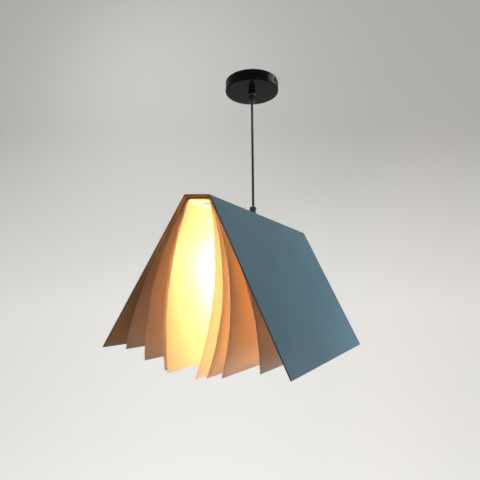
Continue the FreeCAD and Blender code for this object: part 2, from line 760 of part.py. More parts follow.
def leg(top_half, level, shoulder, straight, leave, foot, offset, side):
    """One side of a page sheet's section at an offset from its middle line, from the top's middle to
    the foot: flat, shoulder, straight run and one long arc. Slopes are from the vertical, outward."""
    turned = math.radians(90 - leave)
    long_run = value("page_half_width") - top_half - shoulder * turned - straight
    radius = long_run / math.radians(leave + foot)
    place = FreeCAD.Vector(0, 0, level + offset)
    slope = 90.0
    edges = []

    def step_on(target):
        nonlocal place
        edges.append(Part.LineSegment(mirrored(place), mirrored(target)).toShape())
        place = target

    def turn_to(end_slope, bend):
        nonlocal place, slope

        def at(angle):
            inward = FreeCAD.Vector(math.cos(math.radians(angle)), 0, math.sin(math.radians(angle)))
            return inward * bend

        centre = place - at(slope)
        middle = centre + at((slope + end_slope) / 2)
        target = centre + at(end_slope)
        edges.append(Part.Arc(mirrored(place), mirrored(middle), mirrored(target)).toShape())
        place = target
        slope = end_slope

    def mirrored(point):
        return FreeCAD.Vector(point.x * side, point.y, point.z)

    step_on(FreeCAD.Vector(top_half, 0, level + offset))
    turn_to(leave, shoulder + offset)
    if straight:
        down = FreeCAD.Vector(math.sin(math.radians(leave)), 0, -math.cos(math.radians(leave)))
        step_on(place + down * straight)
    turn_to(-foot, radius + offset)
    return edges, mirrored(place)


hole_x = value("hole_offset")


def page_sheet(label, number, top, shoulder, straight, left, right):
    """Frosted sheet folded over the clamp: one face of its section, extruded along the spine."""
    half = value("page_thickness") / 2
    level = -value(f"{pages_top} + ({number} - 0.5) * page_thickness")
    faces = []
    for side, (leave, foot) in ((1, right), (-1, left)):
        outer, outer_end = leg(top, level, shoulder, straight, leave, foot, half, side)
        inner, inner_end = leg(top, level, shoulder, straight, leave, foot, -half, side)
        faces.append((outer, inner, Part.LineSegment(outer_end, inner_end).toShape()))
    (outer_r, inner_r, end_r), (outer_l, inner_l, end_l) = faces
    border = Part.Wire(Part.__sortEdges__(outer_r + [end_r] + inner_r + inner_l + [end_l] + outer_l))
    length = value("cover_length - 2 * page_margin")
    solid = Part.Face(border).extrude(FreeCAD.Vector(0, length, 0))
    solid.translate(FreeCAD.Vector(0, -length / 2, 0))
    notch_depth = value("clamp_bar_notch_depth")
    notch_foot = FreeCAD.Vector(hole_x, 0, -notch_depth)
    solid = solid.cut(Part.makeCylinder(value("clamp_bar_notch"), notch_depth, notch_foot))
    for across, along, radius in drilled_through:
        foot = FreeCAD.Vector(value(across), value(along), level - 2 * half)
        solid = solid.cut(Part.makeCylinder(value(radius), 4 * half, foot))
    page = doc.addObject("Part::Feature", label)
    page.Shape = solid.removeSplitter()
    keep(page, on_book(0, 0, 0))


page_sheet(
    "page_sheet_1",
    1,
    value("page_one_top"),
    value("page_one_shoulder"),
    value("page_one_straight"),
    (value("board_angle_left"), value("page_one_left_foot")),
    (value("board_angle_right"), value("page_one_right_foot")),
)
for number, word in ((2, "two"), (3, "three"), (4, "four")):
    page_sheet(
        f"page_sheet_{number}",
        number,
        value(f"page_{word}_top"),
        value(f"page_{word}_shoulder"),
        0,
        (value(f"page_{word}_left_leave"), value(f"page_{word}_left_foot")),
        (value(f"page_{word}_right_leave"), value(f"page_{word}_right_foot")),
    )

flat_bar(
    "clamp_bar",
    "clamp_bar_length",
    "clamp_bar_width",
    "clamp_bar_thickness",
    pages_low,
    [("hole_offset", "0", "clamp_bar_notch")] + drilled_through,
)

# Four screws clamp the pages between the two bars
bars_low = f"({pages_low} + clamp_bar_thickness)"
screws = []
for row in page_screw_rows:
    foot = FreeCAD.Vector(0, value(row), -value(f"{bars_low} + page_screw_head_height"))
    tip_level = -value("cover_thickness + lining_thickness + page_screw_tip_gap")
    screw = Part.makeCylinder(value("page_screw_radius"), tip_level - foot.z, foot)
    head_height = value("page_screw_head_height")
    screw = screw.fuse(Part.makeCylinder(value("page_screw_head_radius"), head_height, foot))
    slot_reach = value("2 * page_screw_head_radius")
    slot_start = foot - FreeCAD.Vector(value("clamp_slot_width / 2"), slot_reach, value("clamp_slot_depth"))
    slot = Part.makeBox(value("clamp_slot_width"), 2 * slot_reach, value("2 * clamp_slot_depth"), slot_start)
    screws.append(screw.cut(slot).removeSplitter())
page_screws = doc.addObject("Part::Feature", "page_screws")
page_screws.Shape = Part.makeCompound(screws)
keep(page_screws, on_book(0, 0, 0))

# Spine's grip, nipple and locknut, on the hole's axis
holder_top = "(spine_nipple_length - grip_socket_depth - holder_thread)"
spine_seat = on_book(hole_x, 0, 0)
cord_grip("spine_grip", spine_seat)
clamp_screw("spine_grip_screw", spine_seat)
nipple("spine_nipple", "spine_nipple_length", on_book(hole_x, 0, value("grip_socket_depth")))
locknut("spine_locknut", on_book(hole_x, 0, -value(pages_top)))

# Lampholder: cap, shell, contact carrier and contacts. Its own origin is the cap's upper face.
holder_place = on_book(hole_x, 0, -value(holder_top))
holder_bore = "(holder_radius - holder_wall)"
cap = new_body("holder_cap")
revolve(
    cap,
    "moulding",
    [
        ("nipple_radius + tapping_clearance", "0"),
        ("holder_neck_radius", "0"),
        ("holder_neck_radius", "-holder_neck_height", "-holder_dome_radius"),
        ("holder_radius", "-holder_cap_height + 2"),
        ("holder_radius", "-holder_cap_height"),
        (holder_bore, "-holder_cap_height"),
        (holder_bore, "-holder_cap_height + 1.5", "holder_dome_radius"),
        ("holder_neck_radius - 0.5", "-holder_thread + 1"),
        ("holder_neck_radius - 1.2", "-holder_thread"),
        ("nipple_radius + tapping_clearance", "-holder_thread"),
    ],
)
keep(cap, holder_place)

shell_top = "-holder_cap_height"
shell_low = "(-holder_cap_height - holder_shell_height)"
sleeve_bore = "(bulb_cap_radius + bulb_clearance)"
sleeve_outside = f"({sleeve_bore} + contact_thickness)"
insert_top = "(-holder_cap_height - 1)"
insert_low = "(-holder_cap_height - 1 - insert_height)"
shell = new_body("holder_shell")
revolve(
    shell,
    "moulding",
    [
        (f"{sleeve_outside} + 0.5", shell_low),
        ("holder_radius + holder_rim_step - 1", shell_low),
        ("holder_radius + holder_rim_step", f"{shell_low} + 1"),
        ("holder_radius + holder_rim_step", f"{shell_low} + holder_rim_height"),
        ("holder_radius", f"{shell_low} + holder_rim_height + 1"),
        ("holder_radius", shell_top),
        (holder_bore, shell_top),
        (holder_bore, insert_low),
        (f"{holder_bore} - insert_seat", insert_low),
        (f"{holder_bore} - insert_seat", f"{shell_low} + holder_wall"),
        (f"{sleeve_outside} + 0.5", f"{shell_low} + holder_wall"),
    ],
)
keep(shell, holder_place)

insert = new_body("holder_insert")
revolve(
    insert,
    "moulding",
    [
        ("0", insert_low),
        (f"{holder_bore} - tapping_clearance", insert_low),
        (f"{holder_bore} - tapping_clearance", f"{insert_top} - 2"),
        (f"{holder_bore} - 1.5", f"{insert_top} - 2"),
        (f"{holder_bore} - 1.5", insert_top),
        ("0", insert_top),
    ],
)
wire_holes = new_sketch(insert, "wire_holes", "XY_Plane", insert_top)
circle(wire_holes, "-holder_radius / 2 + 1", "0", "wire_radius + hole_clearance")
circle(wire_holes, "holder_radius / 2 - 1", "0", "wire_radius + hole_clearance")
pocket(insert, "wire_hole_cut", wire_holes, "insert_height")
keep(insert, holder_place)

# Brass contacts under the carrier: the sleeve takes the bulb's base, the strip meets its tip
sleeve_foot = FreeCAD.Vector(0, 0, value(f"{insert_low} - sleeve_length"))
flange_foot = FreeCAD.Vector(0, 0, value(f"{insert_low} - contact_thickness"))
sleeve = Part.makeCylinder(value(sleeve_outside), value("sleeve_length"), sleeve_foot)
flange = Part.makeCylinder(value(f"{sleeve_outside} + 2"), value("contact_thickness"), flange_foot)
sleeve_room = Part.makeCylinder(value(sleeve_bore), value("sleeve_length") + 2, sleeve_foot - Z_AXIS)
sleeve = sleeve.fuse(flange).cut(sleeve_room).removeSplitter()
strip_width = value("bulb_tip_radius * 1.4")
strip_thickness = value("contact_thickness")
strip_run = value("bulb_cap_radius * 1.4")
carrier_face = value(insert_low)
strip = Part.makeBox(
    strip_run, strip_width, strip_thickness,
    FreeCAD.Vector(-strip_run / 2, -strip_width / 2, carrier_face - strip_thickness),
)
strip = strip.fuse(
    Part.makeBox(
        strip_run / 2, strip_width, strip_thickness,
        FreeCAD.Vector(-strip_run / 4, -strip_width / 2, carrier_face - 2 * strip_thickness),
    )
)
contacts = doc.addObject("Part::Feature", "holder_contacts")
contacts.Shape = Part.makeCompound([sleeve, strip.removeSplitter()])
keep(contacts, holder_place)

# Cord inside the spine, and its conductors in the lampholder's cap
tail_length = "grip_height - grip_socket_depth + spine_nipple_length + cord_tail / 2"
tail = doc.addObject("Part::Cylinder", "cord_in_spine")
tail.Label = "cord_in_spine"
tail.setExpression("Radius", bound("cord_diameter / 2"))
tail.setExpression("Height", bound(tail_length + " - cord_gap_low"))
tail_low = value("grip_height") - value(tail_length)
keep(tail, on_book(hole_x, 0, tail_low))
tail_in_holder = tail_low + value(holder_top)
leads = []
for side in (-1, 1):
    well = value("holder_radius / 2 - 1")
    route = [
        FreeCAD.Vector(1.05 * side, 0, tail_in_holder - 0.1),
        FreeCAD.Vector(1.05 * side, 0, tail_in_holder - 1.2),
        FreeCAD.Vector(well * side, 0, value(insert_top) + 1.4),
        FreeCAD.Vector(well * side, 0, value(insert_top) - 2),
    ]
    leads.append(wire_tube(route, value("wire_radius")))
holder_wires = doc.addObject("Part::Feature", "holder_wires")
holder_wires.Shape = Part.makeCompound(leads)
keep(holder_wires, holder_place)

# Bulb on the holder's axis. Its own origin is the tip's end, and it hangs down from there.
tip_level = "(contact_thickness * 2 + bulb_contact_gap)"
bulb_place = holder_place.multiply(placed(0, 0, value(insert_low) - value(tip_level)))
base_top = "-(bulb_tip_height + bulb_insulator_height)"
base_low = f"({base_top} - bulb_cap_length)"
globe_level = f"({base_low} - bulb_collar_height)"

tip = new_body("bulb_tip")
revolve(
    tip,
    "button",
    [
        ("0", "-bulb_tip_height"),
        ("bulb_tip_radius", "-bulb_tip_height"),
        ("bulb_tip_radius", "-bulb_tip_height * 0.6"),
        ("bulb_tip_radius - 1.5", "0"),
        ("0", "0"),
    ],
)
keep(tip, bulb_place)

insulator = new_body("bulb_insulator")
revolve(
    insulator,
    "moulding",
    [
        ("0", base_top),
        ("bulb_cap_radius - 1", base_top),
        ("bulb_tip_radius + 1", "-bulb_tip_height"),
        ("0", "-bulb_tip_height"),
    ],
)
keep(insulator, bulb_place)

base = new_body("bulb_cap")
turns = int(value("(bulb_cap_length - 5) / bulb_thread_pitch"))
thread_round = "(0.16 * bulb_thread_pitch^2 + bulb_thread_depth^2) / (2 * bulb_thread_depth)"
wave = [("0", base_low), ("bulb_cap_radius - 0.6", base_low)]
for turn in range(turns):
    foot = f"{base_low} + 2 + {turn} * bulb_thread_pitch"
    wave.append(("bulb_cap_radius - bulb_thread_depth", foot, thread_round))
    wave.append(("bulb_cap_radius - bulb_thread_depth", f"{foot} + bulb_thread_pitch * 0.8"))
wave += [("bulb_cap_radius - 0.6", f"{base_top} - 1"), ("bulb_cap_radius - 1", base_top), ("0", base_top)]
revolve(base, "rolled", wave)
keep(base, bulb_place)

collar = new_body("bulb_collar")
seam = "sqrt(bulb_globe_radius^2 - bulb_globe_rise^2)"
revolve(
    collar,
    "moulding",
    [
        ("0", globe_level),
        (seam, globe_level),
        (seam, f"{globe_level} + 3", "bulb_globe_radius"),
        ("bulb_cap_radius + 1.5", f"{base_low} - 3"),
        ("bulb_cap_radius + 1", base_low),
        ("0", base_low),
    ],
)
keep(collar, bulb_place)

globe = new_body("bulb_globe")
revolve(
    globe,
    "blown",
    [
        ("0", f"{globe_level} - bulb_globe_rise - bulb_globe_radius", "bulb_globe_radius"),
        (seam, globe_level),
        ("0", globe_level),
    ],
)
keep(globe, bulb_place)

doc.recompute()

for item in doc.Objects:
    faults = [word for word in item.State if word in ("Invalid", "Error")]
    if faults:
        raise ValueError(f"{item.Label}: {faults}")
for item in PARTS:
    if item.Shape.isNull() or not item.Shape.isValid():
        raise ValueError(f"{item.Label} has no valid shape")
os.makedirs("parts", exist_ok=True)
for item in PARTS:
    item.Shape.exportStep(f"parts/{item.Label}.step")
    print(item.Label, len(item.Shape.Solids), round(item.Shape.Volume, 1))
print(len(PARTS), "nodes")
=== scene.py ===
# Open-book pendant light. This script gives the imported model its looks.
# Everything is in metres, +Z up, from the point where the cord's axis meets the ceiling.
import math

import bmesh
import bpy
from mathutils import Matrix, Vector


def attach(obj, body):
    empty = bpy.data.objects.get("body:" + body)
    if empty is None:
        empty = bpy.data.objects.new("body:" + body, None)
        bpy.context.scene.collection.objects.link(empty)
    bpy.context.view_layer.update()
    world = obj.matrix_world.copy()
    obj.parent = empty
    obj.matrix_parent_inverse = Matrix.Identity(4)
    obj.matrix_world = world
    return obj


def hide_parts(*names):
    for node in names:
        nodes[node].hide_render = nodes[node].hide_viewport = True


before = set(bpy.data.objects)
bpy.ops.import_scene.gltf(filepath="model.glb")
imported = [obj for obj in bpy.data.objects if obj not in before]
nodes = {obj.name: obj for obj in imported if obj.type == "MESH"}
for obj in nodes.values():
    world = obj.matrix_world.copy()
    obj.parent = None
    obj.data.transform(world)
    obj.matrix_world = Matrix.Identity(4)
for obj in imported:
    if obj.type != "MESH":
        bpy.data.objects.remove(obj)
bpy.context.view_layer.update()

millimetre = 0.001


def linear(hexColour):
    # sRGB hex to the linear values that a shader takes
    channels = [int(hexColour[i:i + 2], 16) / 255 for i in (1, 3, 5)]
    return [c / 12.92 if c <= 0.04045 else ((c + 0.055) / 1.055) ** 2.4 for c in channels] + [1.0]


def perMetre(sizeMm):
    # texture scale for a pattern whose features are sizeMm across
    return 1 / (sizeMm * millimetre)


def addNode(tree, kind, inputs=None, **settings):
    # one node with its settings; an input is a plain value or the socket that feeds it
    node = tree.nodes.new("ShaderNode" + kind)
    for name, setting in settings.items():
        setattr(node, name, setting)
    for name, given in (inputs or {}).items():
        if isinstance(given, bpy.types.NodeSocket):
            tree.links.new(given, node.inputs[name])
        else:
            node.inputs[name].default_value = given
    return node


def newMaterial(name):
    # a material with one Principled shader and the Object coordinates that its patterns read
    material = bpy.data.materials.new(name)
    material.use_nodes = True
    tree = material.node_tree
    tree.nodes.clear()
    surface = addNode(tree, "BsdfPrincipled")
    addNode(tree, "OutputMaterial", {"Surface": surface.outputs["BSDF"]})
    place = addNode(tree, "TexCoord").outputs["Object"]
    return material, tree, surface, place


def join(tree, surface, **sockets):
    # links pattern sockets to the Principled shader's inputs, named in camelCase
    names = {"colour": "Base Color", "roughness": "Roughness", "normal": "Normal"}
    for name, socket in sockets.items():
        tree.links.new(socket, surface.inputs[names[name]])


def ramp(tree, factor, stops):
    # a colour ramp from (position, hex) stops
    node = addNode(tree, "ValToRGB", {"Fac": factor})
    elements = node.color_ramp.elements
    while len(elements) < len(stops):
        elements.new(0.5)
    for element, (position, hexColour) in zip(elements, stops):
        element.position = position
        element.color = linear(hexColour)
    return node.outputs["Color"]


def spread(tree, factor, low, high):
    # maps a pattern's 0 to 1 onto a roughness range
    return addNode(tree, "MapRange", {"Value": factor, "To Min": low, "To Max": high}).outputs["Result"]


# The camera stands at the photograph's viewing angle
cameraView = {
    "position": (0.31174, -0.65571, -0.40043),
    "heading": 27.361,          # degrees from +Y towards -X
    "pitch": 7.821,             # degrees above the horizon
    "roll": -0.391,
    "lens": 30.476,             # millimetres on a 36 mm sensor
}
camera = bpy.data.objects.new("camera", bpy.data.cameras.new("camera"))
bpy.context.scene.collection.objects.link(camera)
camera.data.sensor_width = 36
camera.data.lens = cameraView["lens"]
camera.data.clip_start = 0.01
camera.matrix_world = (
    Matrix.Translation(cameraView["position"])
    @ Matrix.Rotation(math.radians(cameraView["heading"]), 4, "Z")
    @ Matrix.Rotation(math.radians(90 + cameraView["pitch"]), 4, "X")
    @ Matrix.Rotation(math.radians(cameraView["roll"]), 4, "Z")
)
bpy.context.scene.camera = camera
print("camera: set")

# The free cord is taut between the two grips, because it carries the shade. Its ends stop just short of the
# cord that the grips hold, so that it can swing.
freeCord = {
    "route": [(0, 0, -0.0410), (0, 0, -0.0900), (0, 0, -0.1400), (0, 0, -0.1900), (0, 0, -0.2380)],
    "diameter": 0.0045,
    "length": 0.199,
}


def makeCord():
    curve = bpy.data.curves.new("freeCord", "CURVE")
    curve.dimensions = "3D"
    spline = curve.splines.new("NURBS")
    spline.points.add(len(freeCord["route"]) - 1)
    for point, place in zip(spline.points, freeCord["route"]):
        point.co = (*place, 1)
        point.radius = freeCord["diameter"] / 2    # kept here, so that the curve's own box is tight
    spline.order_u = 3
    spline.use_endpoint_u = True
    spline.resolution_u = 12
    curve.bevel_depth = 1.0
    curve.bevel_resolution = 8
    curve.use_fill_caps = True
    piece = bpy.data.objects.new("freeCord", curve)
    bpy.context.scene.collection.objects.link(piece)
    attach(piece, "cord")
    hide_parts("cord")
    return piece


cordPiece = makeCord()
print("cord: made")


def powderCoat():
    # Polyester powder coat on folded sheet: satin slate blue with the faint orange peel of cured powder.
    # The sheet's cut edges carry painted light: almost black painted shade on the right board, and a painted warm
    # glow elsewhere.
    # the two cut-edge colours are painted shade (right board) and a painted warm glow (left board and spine)
    look = {"light": "#4C7688", "dark": "#456E80", "edge": "#25282B", "paintedGlowEdge": "#C98A58", "paintedShadeRightOf": 0.03,
            "peelMm": 1.6, "cloudMm": 120, "roughness": 0.46}
    material, tree, surface, place = newMaterial("powderCoatSlateBlue")
    cloud = addNode(tree, "TexNoise", {"Vector": place, "Scale": perMetre(look["cloudMm"]), "Detail": 2.0})
    peel = addNode(tree, "TexNoise", {"Vector": place, "Scale": perMetre(look["peelMm"]), "Detail": 2.0})
    bump = addNode(tree, "Bump", {"Height": peel.outputs["Fac"], "Strength": 0.12, "Distance": 0.1 * millimetre})
    face = addNode(tree, "SeparateXYZ", {"Vector": addNode(tree, "TexCoord").outputs["Normal"]})
    along = addNode(tree, "Math", {0: face.outputs["Y"]}, operation="ABSOLUTE")
    below = addNode(tree, "Math", {0: face.outputs["Z"], 1: -1.0}, operation="MULTIPLY")
    either = addNode(tree, "Math", {0: along.outputs["Value"], 1: below.outputs["Value"]}, operation="MAXIMUM")
    cut = addNode(tree, "Math", {0: either.outputs["Value"], 1: 0.7}, operation="GREATER_THAN")
    coat = ramp(tree, cloud.outputs["Fac"], [(0.35, look["dark"]), (0.65, look["light"])])
    # cut edges take painted light by side: painted shade on the right board, a painted warm glow on the left board
    # and the spine
    side = addNode(tree, "SeparateXYZ", {"Vector": place})
    right = addNode(tree, "Math", {0: side.outputs["X"], 1: look["paintedShadeRightOf"]}, operation="GREATER_THAN")
    edge = ramp(tree, right.outputs["Value"], [(0.0, look["paintedGlowEdge"]), (1.0, look["edge"])])
    colour = addNode(tree, "MixRGB", {"Fac": cut.outputs["Value"], "Color1": coat, "Color2": edge})
    surface.inputs["Specular IOR Level"].default_value = 0.25
    join(tree, surface,
         colour=colour.outputs["Color"],
         roughness=spread(tree, peel.outputs["Fac"], look["roughness"] - 0.05, look["roughness"] + 0.05),
         normal=bump.outputs["Normal"])
    return material


def liningPaper():
    # Uncoated kraft-cream book paper glued inside the cover: matt, with short pulp fibres
    look = {"light": "#C9A27A", "dark": "#BC946C", "fibreMm": 3.0, "grainMm": 0.8}
    material, tree, surface, place = newMaterial("liningPaperCream")
    stretch = addNode(tree, "Mapping", {"Vector": place, "Scale": (1.0, 0.35, 1.0)})
    fibre = addNode(tree, "TexNoise", {"Vector": stretch.outputs["Vector"], "Scale": perMetre(look["fibreMm"]),
                                       "Detail": 6.0, "Roughness": 0.7})
    grain = addNode(tree, "TexNoise", {"Vector": place, "Scale": perMetre(look["grainMm"]), "Detail": 3.0})
    bump = addNode(tree, "Bump", {"Height": grain.outputs["Fac"], "Strength": 0.25, "Distance": 0.1 * millimetre})
    surface.inputs["Roughness"].default_value = 0.85
    surface.inputs["Specular IOR Level"].default_value = 0.25
    join(tree, surface,
         colour=ramp(tree, fibre.outputs["Fac"], [(0.3, look["dark"]), (0.7, look["light"])]),
         normal=bump.outputs["Normal"])
    return material


def pageFilm():
    # Translucent polypropylene lampshade film with a matt, paper-like grain. Most light goes through it, and each
    # sheet takes a little green and blue, so that the outer pages look darker and browner than the inner ones.
    look = {"light": "#FCF2E4", "dark": "#F9EBD9", "lightThrough": "#FFF7F0", "darkThrough": "#FDF3EA",
            "passes": 0.68, "fibreMm": 4.0, "grainMm": 0.7}
    material, tree, surface, place = newMaterial("pageFilmTranslucent")
    stretch = addNode(tree, "Mapping", {"Vector": place, "Scale": (1.0, 0.4, 1.0)})
    fibre = addNode(tree, "TexNoise", {"Vector": stretch.outputs["Vector"], "Scale": perMetre(look["fibreMm"]),
                                       "Detail": 6.0, "Roughness": 0.65})
    grain = addNode(tree, "TexNoise", {"Vector": place, "Scale": perMetre(look["grainMm"]), "Detail": 3.0})
    bump = addNode(tree, "Bump", {"Height": grain.outputs["Fac"], "Strength": 0.15, "Distance": 0.05 * millimetre})
    surface.inputs["Roughness"].default_value = 0.6
    surface.inputs["Specular IOR Level"].default_value = 0.3
    join(tree, surface,
         colour=ramp(tree, fibre.outputs["Fac"], [(0.3, look["dark"]), (0.7, look["light"])]),
         normal=bump.outputs["Normal"])
    soaked = ramp(tree, fibre.outputs["Fac"], [(0.3, look["darkThrough"]), (0.7, look["lightThrough"])])
    through = addNode(tree, "BsdfTranslucent", {"Color": soaked, "Normal": bump.outputs["Normal"]})
    both = addNode(tree, "MixShader", {0: look["passes"], 1: surface.outputs["BSDF"], 2: through.outputs["BSDF"]})
    tree.links.new(both.outputs["Shader"], tree.get_output_node("ALL").inputs["Surface"])
    return material


def blackLacquer():
    # Gloss black lacquer over a spun steel cup: mirror-like, with a very slight ripple
    look = {"colour": "#101011", "rippleMm": 5.0, "roughness": 0.12}
    material, tree, surface, place = newMaterial("lacquerGlossBlack")
    ripple = addNode(tree, "TexNoise", {"Vector": place, "Scale": perMetre(look["rippleMm"]), "Detail": 1.0})
    bump = addNode(tree, "Bump", {"Height": ripple.outputs["Fac"], "Strength": 0.06, "Distance": 0.1 * millimetre})
    surface.inputs["Base Color"].default_value = linear(look["colour"])
    surface.inputs["Specular IOR Level"].default_value = 0.06
    join(tree, surface,
         roughness=spread(tree, ripple.outputs["Fac"], look["roughness"], look["roughness"] + 0.08),
         normal=bump.outputs["Normal"])
    return material


def whiteEnamel():
    # Stoved cream-white enamel on a steel bar: smooth and softly shiny, a little uneven where it ran
    look = {"light": "#EDE6D8", "dark": "#E4DCCB", "runMm": 7.0}
    material, tree, surface, place = newMaterial("enamelCreamWhite")
    run = addNode(tree, "TexNoise", {"Vector": place, "Scale": perMetre(look["runMm"]), "Detail": 3.0})
    bump = addNode(tree, "Bump", {"Height": run.outputs["Fac"], "Strength": 0.08, "Distance": 0.1 * millimetre})
    join(tree, surface,
         colour=ramp(tree, run.outputs["Fac"], [(0.35, look["dark"]), (0.65, look["light"])]),
         roughness=spread(tree, run.outputs["Fac"], 0.28, 0.38),
         normal=bump.outputs["Normal"])
    return material


def mouldedNylon(name, colour, roughness, grainMm):
    # Injection-moulded nylon: an even colour with the spark-eroded grain of its mould
    material, tree, surface, place = newMaterial(name)
    grain = addNode(tree, "TexNoise", {"Vector": place, "Scale": perMetre(grainMm), "Detail": 2.0})
    bump = addNode(tree, "Bump", {"Height": grain.outputs["Fac"], "Strength": 0.2, "Distance": 0.05 * millimetre})
    surface.inputs["Base Color"].default_value = linear(colour)
    surface.inputs["IOR"].default_value = 1.53
    join(tree, surface,
         roughness=spread(tree, grain.outputs["Fac"], roughness - 0.06, roughness + 0.06),
         normal=bump.outputs["Normal"])
    return material


def zincPlate():
    # Bright zinc plate on pressed steel: satin grey metal with faint rolling lines and a cloudy passivation
    look = {"light": "#C9CCCE", "dark": "#AEB2B4", "lineMm": 0.5, "cloudMm": 9.0}
    material, tree, surface, place = newMaterial("zincPlatedSteel")
    stretch = addNode(tree, "Mapping", {"Vector": place, "Scale": (1.0, 0.04, 1.0)})
    lines = addNode(tree, "TexNoise", {"Vector": stretch.outputs["Vector"], "Scale": perMetre(look["lineMm"]),
                                       "Detail": 2.0})
    cloud = addNode(tree, "TexNoise", {"Vector": place, "Scale": perMetre(look["cloudMm"]), "Detail": 4.0})
    bump = addNode(tree, "Bump", {"Height": lines.outputs["Fac"], "Strength": 0.12, "Distance": 0.05 * millimetre})
    surface.inputs["Metallic"].default_value = 1.0
    join(tree, surface,
         colour=ramp(tree, cloud.outputs["Fac"], [(0.3, look["dark"]), (0.7, look["light"])]),
         roughness=spread(tree, cloud.outputs["Fac"], 0.28, 0.42),
         normal=bump.outputs["Normal"])
    return material


def chromePlate():
    # Polished chrome on brass screws: a bright mirror with hairline wear from fingers
    look = {"colour": "#E4E6E9", "smearMm": 3.0}
    material, tree, surface, place = newMaterial("chromePolished")
    smear = addNode(tree, "TexNoise", {"Vector": place, "Scale": perMetre(look["smearMm"]), "Detail": 5.0})
    surface.inputs["Base Color"].default_value = linear(look["colour"])
    surface.inputs["Metallic"].default_value = 1.0
    join(tree, surface, roughness=spread(tree, smear.outputs["Fac"], 0.05, 0.16))
    return material


def turnedBrass():
    # Turned brass contacts: warm yellow metal, dulled a little between the tool marks
    look = {"light": "#D9B45C", "dark": "#B98F3E", "markMm": 0.4, "tarnishMm": 4.0}
    material, tree, surface, place = newMaterial("brassTurned")
    stretch = addNode(tree, "Mapping", {"Vector": place, "Scale": (0.05, 0.05, 1.0)})
    marks = addNode(tree, "TexNoise", {"Vector": stretch.outputs["Vector"], "Scale": perMetre(look["markMm"]),
                                       "Detail": 2.0})
    tarnish = addNode(tree, "TexNoise", {"Vector": place, "Scale": perMetre(look["tarnishMm"]), "Detail": 4.0})
    bump = addNode(tree, "Bump", {"Height": marks.outputs["Fac"], "Strength": 0.15, "Distance": 0.03 * millimetre})
    surface.inputs["Metallic"].default_value = 1.0
    join(tree, surface,
         colour=ramp(tree, tarnish.outputs["Fac"], [(0.35, look["dark"]), (0.65, look["light"])]),
         roughness=spread(tree, tarnish.outputs["Fac"], 0.22, 0.4),
         normal=bump.outputs["Normal"])
    return material


def cordRubber():
    # Black PVC mains sheath: soft sheen with fine lines drawn along it by the extruder
    look = {"colour": "#161617", "lineMm": 0.6, "roughness": 0.38}
    material, tree, surface, place = newMaterial("sheathBlackPvc")
    stretch = addNode(tree, "Mapping", {"Vector": place, "Scale": (1.0, 1.0, 0.02)})
    lines = addNode(tree, "TexNoise", {"Vector": stretch.outputs["Vector"], "Scale": perMetre(look["lineMm"]),
                                       "Detail": 2.0})
    bump = addNode(tree, "Bump", {"Height": lines.outputs["Fac"], "Strength": 0.25, "Distance": 0.05 * millimetre})
    surface.inputs["Base Color"].default_value = linear(look["colour"])
    join(tree, surface,
         roughness=spread(tree, lines.outputs["Fac"], look["roughness"] - 0.06, look["roughness"] + 0.08),
         normal=bump.outputs["Normal"])
    return material


def wireSheath():
    # Two PVC-covered conductors, brown on one side and blue on the other, softly shiny
    look = {"brown": "#5A3420", "blue": "#2C5C94", "lineMm": 0.4}
    material, tree, surface, place = newMaterial("conductorPvc")
    side = addNode(tree, "SeparateXYZ", {"Vector": place})
    past = addNode(tree, "Math", {0: side.outputs["Y"], 1: 0.0}, operation="GREATER_THAN")
    lines = addNode(tree, "TexNoise", {"Vector": place, "Scale": perMetre(look["lineMm"]), "Detail": 2.0})
    join(tree, surface,
         colour=ramp(tree, past.outputs["Value"], [(0.0, look["brown"]), (1.0, look["blue"])]),
         roughness=spread(tree, lines.outputs["Fac"], 0.3, 0.42))
    return material


def glazedPorcelain():
    # Glazed electrical porcelain: milky white under a clear, slightly wavy glaze
    look = {"light": "#EFEDE6", "dark": "#E2DFD5", "speckMm": 1.2}
    material, tree, surface, place = newMaterial("porcelainGlazed")
    speck = addNode(tree, "TexNoise", {"Vector": place, "Scale": perMetre(look["speckMm"]), "Detail": 3.0})
    surface.inputs["Coat Weight"].default_value = 0.7
    surface.inputs["Coat Roughness"].default_value = 0.08
    join(tree, surface,
         colour=ramp(tree, speck.outputs["Fac"], [(0.35, look["dark"]), (0.65, look["light"])]),
         roughness=spread(tree, speck.outputs["Fac"], 0.2, 0.35))
    return material


def rolledAluminium():
    # Rolled aluminium bulb cap: pale satin metal, scuffed where it runs in the thread
    look = {"light": "#D4D6D7", "dark": "#B2B5B7", "scuffMm": 1.5}
    material, tree, surface, place = newMaterial("aluminiumRolled")
    scuff = addNode(tree, "TexNoise", {"Vector": place, "Scale": perMetre(look["scuffMm"]), "Detail": 5.0})
    surface.inputs["Metallic"].default_value = 1.0
    join(tree, surface,
         colour=ramp(tree, scuff.outputs["Fac"], [(0.35, look["dark"]), (0.65, look["light"])]),
         roughness=spread(tree, scuff.outputs["Fac"], 0.22, 0.4))
    return material


def capGlass():
    # Black vitrite glass that insulates the bulb's tip contact: dark violet-black and shiny
    look = {"light": "#1E1B24", "dark": "#0E0D12", "flowMm": 2.0}
    material, tree, surface, place = newMaterial("vitriteBlack")
    flow = addNode(tree, "TexNoise", {"Vector": place, "Scale": perMetre(look["flowMm"]), "Detail": 3.0})
    surface.inputs["Coat Weight"].default_value = 0.5
    join(tree, surface,
         colour=ramp(tree, flow.outputs["Fac"], [(0.35, look["dark"]), (0.65, look["light"])]),
         roughness=spread(tree, flow.outputs["Fac"], 0.12, 0.25))
    return material


